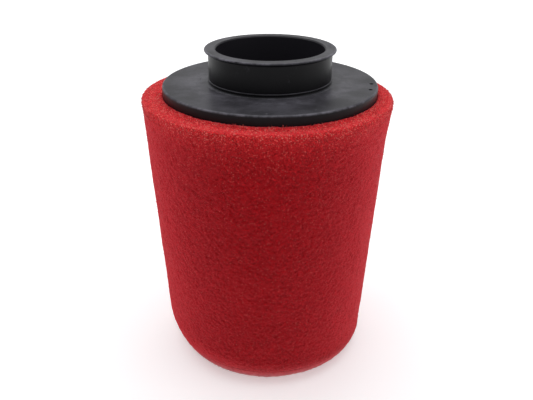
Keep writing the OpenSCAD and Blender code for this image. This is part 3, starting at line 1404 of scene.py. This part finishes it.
@dataclass(frozen=True)
class GlueBead:
    """A thin bead of glue that swells and shrinks along its path.

    Attributes:
        radius: Half the bead's width, in metres.
        unevenness: How much the radius swells and shrinks.
        sides: Number of points round the bead.
        salt: Picks one of many unrelated patterns.
        flat: Height of the bead as a share of its width.
        lump: Distance over which the radius changes.
    """

    radius: float
    unevenness: float
    sides: int
    salt: int
    flat: float = 1.0
    lump: float = 2.5 * MM

    def along(self, name: str, path: np.ndarray, looped: bool) -> bpy.types.Object:
        """Models the bead.

        Args:
            name: Name of the piece.
            path: Points along the middle of the bead, of shape (n, 3).
            looped: True where the last point runs on to the first.

        Returns:
            The bead.
        """
        count = len(path)
        if looped:
            run = np.roll(path, -1, 0) - np.roll(path, 1, 0)
        else:
            run = np.gradient(path, axis=0)
        run /= np.linalg.norm(run, axis=1)[:, None]
        out = path * np.array([1.0, 1.0, 0.0])
        out /= np.linalg.norm(out, axis=1)[:, None]
        side = np.cross(run, out)
        side /= np.linalg.norm(side, axis=1)[:, None]
        out = np.cross(side, run)
        size = self.radius + self.unevenness * Scatter.smooth(path, self.lump, self.salt)
        if not looped:
            ends = np.minimum(np.arange(count), np.arange(count)[::-1])
            size = size * np.clip(0.25 + ends * 0.3, 0, 1)
        turns = np.arange(self.sides) * 2 * math.pi / self.sides
        rings = (
            path[:, None, :]
            + size[:, None, None] * np.cos(turns)[None, :, None] * out[:, None, :]
            + self.flat * size[:, None, None] * np.sin(turns)[None, :, None] * side[:, None, :]
        )
        vertices = rings.reshape(-1, 3)
        last = count if looped else count - 1
        k, t = np.meshgrid(np.arange(last), np.arange(self.sides), indexing="ij")
        nk, nt = (k + 1) % count, (t + 1) % self.sides
        quads = np.stack(
            [k * self.sides + t, nk * self.sides + t, nk * self.sides + nt, k * self.sides + nt], -1
        ).reshape(-1, 4)
        faces = np.concatenate([quads[:, [0, 1, 2]], quads[:, [0, 2, 3]]])
        if not looped:
            tips = np.stack([path[0], path[-1]])
            base = len(vertices)
            vertices = np.concatenate([vertices, tips])
            t = np.arange(self.sides)
            far = (count - 1) * self.sides
            faces = np.concatenate(
                [
                    faces,
                    np.stack([(t + 1) % self.sides, np.full(self.sides, base), t], 1),
                    np.stack([far + t, np.full(self.sides, base + 1), far + (t + 1) % self.sides], 1),
                ]
            )
        return Piece.from_arrays(name, vertices, faces)


@dataclass
class FineElement:
    """The fine black foam inside the sock: its wall, its end disc, its seam and its glue."""

    sizes: FilterSizes
    around: int = 330
    relief: CellRelief = CellRelief(1.5 * MM, 0.34 * MM, 0.14 * MM, 0.08 * MM, 12 * MM, 31)
    seam_depth: float = 0.8 * MM
    seam_width: float = 1.2 * MM
    seam_points: int = 110
    ring_points: int = 260
    soft_edge: float = 1.2 * MM

    def _pinch(self, angle: np.ndarray) -> np.ndarray:
        """How far the seam pulls the outside in."""
        away = turn_between(angle, self.sizes.fine_seam_angle)
        return self.seam_depth * bell(away * self.sizes.fine.high_r, self.seam_width)

    def build_wall(self, material: bpy.types.Material) -> None:
        """Models the wall, with cells outside and inside.

        Args:
            material: The fine foam's finish.
        """
        s = self.sizes
        low, high = s.fine_joint + s.glue, s.fine_top
        step = 2 * math.pi * s.fine.high_r / self.around * SQRT3 / 2
        count = int((high - low) / step) // 2 * 2
        rows = [("out", low + (high - low) * k / count) for k in range(count + 1)]
        rows += [("in", high - (high - low) * k / (count // 2)) for k in range(count // 2 + 1)]
        sheet = RingSheet()
        for row, (kind, z) in enumerate(rows):
            angle = RingSheet.angles(self.around, row)
            radius = s.fine.at(z) - (self._pinch(angle) if kind == "out" else s.fine_wall)
            sink, pore = self.relief.sink(polar(radius, angle, z))
            radius = radius - np.abs(sink) if kind == "out" else radius + np.abs(sink)
            sheet.add(polar(radius, angle, z), pore)
        wall = sheet.build("fine_foam_wall", closed=True)
        Piece.dress(wall, material, Body.ELEMENT, "fine_foam", ("fine_foam_sleeve",))

    def build_end(self, material: bpy.types.Material) -> None:
        """Models the disc across the closed end.

        Args:
            material: The fine foam's finish.
        """
        s = self.sizes
        low, high = s.fine_low, s.fine_joint
        spans = [(60, 0.05), (120, 0.15), (210, 0.3), (270, 0.45)]
        spans += [(self.around, f) for f in (0.6, 0.7, 0.8, 0.9, 0.97)]
        rows = [(n, f * s.fine.at(high), high) for n, f in spans]
        steps = 8
        for k in range(steps + 1):
            z = high + (low - high) * k / steps
            edge = self.soft_edge * max(0.0, 1 - min(z - low, high - z) / self.soft_edge) ** 2 * 0.5
            rows.append((self.around, s.fine.at(z) - edge, z))
        rows += [(n, f * s.fine.at(low), low) for n, f in reversed(spans)]
        sheet = RingSheet()
        for row, (count, radius, z) in enumerate(rows):
            angle = RingSheet.angles(count, row)
            sink, pore = self.relief.sink(polar(radius, angle, z))
            sink = np.abs(sink)
            if z >= high:
                ring = polar(radius, angle, z - sink)
            elif z <= low:
                ring = polar(radius, angle, z + sink)
            else:
                ring = polar(radius - sink, angle, z)
            sheet.add(ring, pore)
        end = sheet.build("fine_foam_disc", closed=False)
        Piece.dress(end, material, Body.ELEMENT, "fine_foam", ("fine_foam_end",))

    def build_glue(self, material: bpy.types.Material) -> None:
        """Models the glue of the seam and of the two joints.

        Args:
            material: The finish of dried glue.
        """
        s = self.sizes
        heights = np.linspace(s.fine_joint + 1 * MM, s.fine_top - 1 * MM, self.seam_points)
        radius = s.fine.at(heights) - self.seam_depth - 0.1 * MM
        path = polar(radius, s.fine_seam_angle, heights)
        seam = GlueBead(0.6 * MM, 0.15 * MM, 8, 41).along("fine_seam_glue", path, looped=False)
        Piece.dress(seam, material, Body.ELEMENT, "glue", ("fine_foam_seam",))
        angle = np.linspace(0, 2 * math.pi, self.ring_points, endpoint=False)
        for name, node, z in (
            ("flange_glue_bead", "flange_glue", (s.fine_top + s.disc_low) / 2),
            ("fine_end_glue_bead", "fine_end_glue", s.fine_joint + s.glue / 2),
        ):
            path = polar(s.fine.at(z) - 0.55 * MM, angle, z)
            bead = GlueBead(0.45 * MM, 0.16 * MM, 8, 42).along(name, path, looped=True)
            Piece.dress(bead, material, Body.ELEMENT, "glue", (node,))


@dataclass
class WireCage:
    """The steel cage: its wires, ring and cup keep their shape, and spot welds are added."""

    nodes: dict[str, bpy.types.Object]
    uprights: int = 16
    weld_radius: float = 0.75 * MM
    weld_rise: float = 0.6 * MM

    def dress(self, wire: bpy.types.Material, sheet: bpy.types.Material) -> None:
        """Gives the wires and the pressings their finishes.

        Args:
            wire: The finish of the hoops and the uprights.
            sheet: The finish of the ring and the cup.
        """
        for name, node in self.nodes.items():
            if name.startswith("cage_"):
                Piece.paint(node, wire if name.startswith(("cage_hoop", "cage_upright")) else sheet)
                LOG.info("%s: dressed", name)

    def build_welds(self, material: bpy.types.Material) -> None:
        """Models a small flattened weld where each hoop crosses each upright.

        Args:
            material: The wires' finish.
        """
        ball, faces = self._blob()
        hoops = sorted(name for name in self.nodes if name.startswith("cage_hoop"))
        spots = []
        for name in hoops:
            low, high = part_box(name)
            for k in range(self.uprights):
                a = (k + 0.5) * 2 * math.pi / self.uprights
                spots.append((high.x * math.cos(a), high.x * math.sin(a), (low.z + high.z) / 2))
        spots = np.array(spots)
        grow = 0.85 + 0.3 * Scatter.hashed(np.round(spots / MM), 5)
        verts = ball[None] * grow[:, None, None] + spots[:, None]
        every = faces[None] + len(ball) * np.arange(len(spots))[:, None, None]
        welds = Piece.from_arrays("cage_spot_welds", verts.reshape(-1, 3), every.reshape(-1, 3))
        Piece.dress(welds, material, Body.ELEMENT, "cage_wire")

    def _blob(self) -> tuple[np.ndarray, np.ndarray]:
        """One weld, a lumpy ball.

        Returns:
            Its vertices, of shape (n, 3), and its faces, of shape (m, 3).
        """
        rings, sides, lumps = 5, 8, 3
        verts = [[0.0, 0.0, self.weld_rise]]
        for i in range(1, rings):
            a = math.pi * i / rings
            for j in range(sides):
                b = 2 * math.pi * j / sides
                r = self.weld_radius * math.sin(a) * (1 + 0.12 * math.cos(lumps * b))
                verts.append([r * math.cos(b), r * math.sin(b), self.weld_rise * math.cos(a)])
        verts.append([0.0, 0.0, -self.weld_rise])
        faces = []
        for j in range(sides):
            n = (j + 1) % sides
            faces.append([0, 1 + j, 1 + n])
            for i in range(rings - 2):
                p, q = 1 + i * sides, 1 + (i + 1) * sides
                faces += [[p + j, q + j, q + n], [p + j, q + n, p + n]]
            base = 1 + (rings - 2) * sides
            faces.append([base + j, len(verts) - 1, base + n])
        return np.array(verts), np.array(faces)


# --------------------------------------------------------------------------- studio


@dataclass
class Studio:
    """A pale floor, soft lights and the camera."""

    lens: float = 41.6
    away: float = 321.9 * MM
    aside: float = 3.3 * MM
    height: float = 251.2 * MM
    pitch: float = 26.66
    yaw: float = 0.88
    roll: float = 0.23
    floor_reach: float = 3.0
    floor_drop: float = 0.02 * MM

    def build_floor(self, material: bpy.types.Material) -> None:
        """Makes the floor, a flat sheet just below the filter.

        Args:
            material: The floor's finish.
        """
        steps = 40
        grid = np.linspace(-self.floor_reach, self.floor_reach, steps)
        x, y = np.meshgrid(grid, grid, indexing="ij")
        points = np.stack([x.ravel(), y.ravel(), np.full(x.size, -self.floor_drop)], 1)
        i, j = np.meshgrid(np.arange(steps - 1), np.arange(steps - 1), indexing="ij")
        a = (i * steps + j).ravel()
        faces = np.stack([a, a + steps, a + steps + 1, a + 1], 1)
        mesh = bpy.data.meshes.new("floor")
        mesh.from_pydata([tuple(p) for p in points], [], [tuple(int(v) for v in f) for f in faces])
        floor = bpy.data.objects.new("floor", mesh)
        bpy.context.scene.collection.objects.link(floor)
        floor.data.materials.append(material)

    def light(self, name: str, place: Vector, aim: Vector, size: tuple[float, float], power: float) -> None:
        """Adds a soft rectangular light.

        Args:
            name: Name of the light.
            place: Where it stands, in metres.
            aim: The point that it faces.
            size: Its width and height in metres.
            power: Its power in watts.
        """
        data = bpy.data.lights.new(name, "AREA")
        data.shape = "RECTANGLE"
        data.size, data.size_y = size
        data.energy = power
        lamp = bpy.data.objects.new(name, data)
        lamp.location = place
        lamp.rotation_euler = (aim - place).to_track_quat("-Z", "Y").to_euler()
        lamp.visible_camera = False
        bpy.context.scene.collection.objects.link(lamp)

    def build_lights(self) -> None:
        """Adds the lights and the pale surroundings."""
        middle = Vector((0, 0, 0.11))
        self.light("top_softbox", Vector((-0.05, 0.1, 1.0)), middle, (1.3, 1.3), 8.8)
        self.light("back_card", Vector((0.0, 1.3, 0.7)), Vector((0, 0, 0.18)), (2.2, 0.9), 2.5)
        self.light("right_fill", Vector((1.1, -0.35, 0.5)), middle, (0.7, 0.9), 1.2)
        world = bpy.data.worlds.new("studio")
        world.use_nodes = True
        kit = NodeTree(world.node_tree)
        soft = kit.add("Background", None, {"Color": (0.97, 0.98, 1.0, 1.0), "Strength": 0.32})
        seen = kit.add("Background", None, {"Color": (1.0, 1.0, 1.0, 1.0), "Strength": 1.05})
        straight = kit.add("LightPath").outputs["Is Camera Ray"]
        sky = kit.add("MixShader", None, {0: straight, 1: soft.outputs[0], 2: seen.outputs[0]})
        kit.add("OutputWorld", None, {"Surface": sky.outputs[0]})
        bpy.context.scene.world = world
        bpy.context.scene.view_settings.view_transform = "Standard"

    def build_camera(self) -> None:
        """Places the camera in front of the filter, looking down at it."""
        data = bpy.data.cameras.new("camera")
        data.lens = self.lens
        data.sensor_width = 36.0
        data.clip_start = 0.01
        camera = bpy.data.objects.new("camera", data)
        turn = (
            Matrix.Rotation(math.radians(self.yaw), 4, "Z")
            @ Matrix.Rotation(math.radians(90 - self.pitch), 4, "X")
            @ Matrix.Rotation(math.radians(self.roll), 4, "Z")
        )
        camera.matrix_world = Matrix.Translation((self.aside, -self.away, self.height)) @ turn
        bpy.context.scene.collection.objects.link(camera)
        bpy.context.scene.camera = camera


# --------------------------------------------------------------------------- assembly


def main() -> None:
    """Builds the filter round its frame, piece by piece."""
    logging.basicConfig(level=logging.INFO, format="%(message)s")
    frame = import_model()
    nodes = frame["nodes"]
    sizes = FilterSizes.from_frame(nodes, frame["record"])
    studio = Studio()
    studio.build_camera()
    studio.build_lights()
    paper = FloorFinish(
        name="studio_paper",
        pale=(0.86, 0.86, 0.87),
        paler=(0.9, 0.9, 0.91),
        glow=0.36,
        far_glow=0.8,
        surface=Surface(0.7, specular=0.1),
    ).build()
    studio.build_floor(paper)

    coarse = FoamFinish(
        name="coarse_red_foam",
        pore=(0.09, 0.0005, 0.0013),
        strut=(0.54, 0.005, 0.0105),
        top_light_near_rim=(1.0, 0.04, 0.046),
        backlit_fringe_colour=(0.74, 0.4, 0.415),
        rim_light=(0.95, 0.03, 0.045),
        glint=(1.0, 0.3, 0.25),
        cells=1700.0,
        glint_amount=0.3,
        surface=Surface(0.7, specular=0.06, sheen=0.45, sheen_roughness=0.3, sheen_tint=(1.0, 0.2, 0.24)),
    ).build()
    struts = StrutFinish(
        name="coarse_foam_strut",
        dark=(0.5, 0.01, 0.014),
        light=(0.95, 0.07, 0.07),
        tip=(1.0, 0.36, 0.29),
        backlit_fringe=(0.74, 0.36, 0.37),
        surface=Surface(0.35, specular=0.3, sheen=0.2, sheen_roughness=0.4, sheen_tint=(1.0, 0.3, 0.3)),
    ).build()
    fine = FoamFinish(
        name="fine_black_foam",
        pore=(0.003, 0.003, 0.0035),
        strut=(0.03, 0.03, 0.033),
        top_light_near_rim=(0.06, 0.06, 0.065),
        backlit_fringe_colour=(0.06, 0.06, 0.06),
        rim_light=(0.05, 0.05, 0.054),
        glint=(0.3, 0.3, 0.32),
        cells=1500.0,
        glint_amount=0.4,
        surface=Surface(0.8, specular=0.2, sheen=0.08, sheen_roughness=0.4),
    ).build()
    lip_mark_z = sizes.neck_top - 0.5 * MM
    rubber = RubberFinish(
        name="moulded_black_rubber",
        base=(0.0052, 0.0048, 0.006),
        dust_and_top_light_tone=(0.06, 0.058, 0.068),
        lip_edge=(sizes.lip_r, sizes.neck_top),
        disc_edge=(sizes.disc_r, sizes.disc_high),
        neck_foot=(sizes.seat_r + 6.0 * MM, sizes.disc_high),
        bore_r=sizes.bore_r,
        light_marks=(
            (-0.9 * MM, -54.0 * MM, sizes.disc_high, 0.9 * MM),
            (22.0 * MM, -47.5 * MM, sizes.disc_high, 0.5 * MM),
            (-31.0 * MM, 40.0 * MM, sizes.disc_high, 0.6 * MM),
        ),
        dark_marks=(
            (-15.9 * MM, -30.6 * MM, lip_mark_z, 1.0 * MM),
            (30.1 * MM, 17.2 * MM, lip_mark_z, 0.7 * MM),
        ),
        surface=Surface(0.38, specular=0.15),
    ).build()
    wire = SteelFinish(
        name="zinc_plated_wire",
        bright=(0.66, 0.67, 0.70),
        dull=(0.42, 0.43, 0.45),
        lines=0.1,
        surface=Surface(metallic=1.0),
    ).build()
    pressed = SteelFinish(
        name="zinc_plated_sheet",
        bright=(0.68, 0.69, 0.71),
        dull=(0.46, 0.46, 0.47),
        lines=1.0,
        surface=Surface(metallic=1.0),
    ).build()
    glue = GlueFinish(
        name="contact_glue",
        clear=(0.09, 0.07, 0.045),
        cloudy=(0.24, 0.2, 0.145),
        surface=Surface(0.4, specular=0.4),
    ).build()
    red_glue = GlueFinish(
        name="glue_in_red_foam",
        clear=(0.2, 0.004, 0.008),
        cloudy=(0.36, 0.014, 0.022),
        surface=Surface(0.4, specular=0.18),
    ).build()

    Piece.paint(nodes["neck_flange"], rubber)
    LOG.info("neck_flange: dressed")

    sock = CoarseSock(sizes)
    sock.build_wall(coarse)
    sock.build_end(coarse)
    sock.build_glue(red_glue)
    CellStruts(sock).build(struts)

    element = FineElement(sizes)
    element.build_wall(fine)
    element.build_end(fine)
    element.build_glue(glue)

    cage = WireCage(nodes)
    cage.dress(wire, pressed)
    cage.build_welds(wire)

    bpy.context.view_layer.update()


if __name__ == "__main__":
    main()
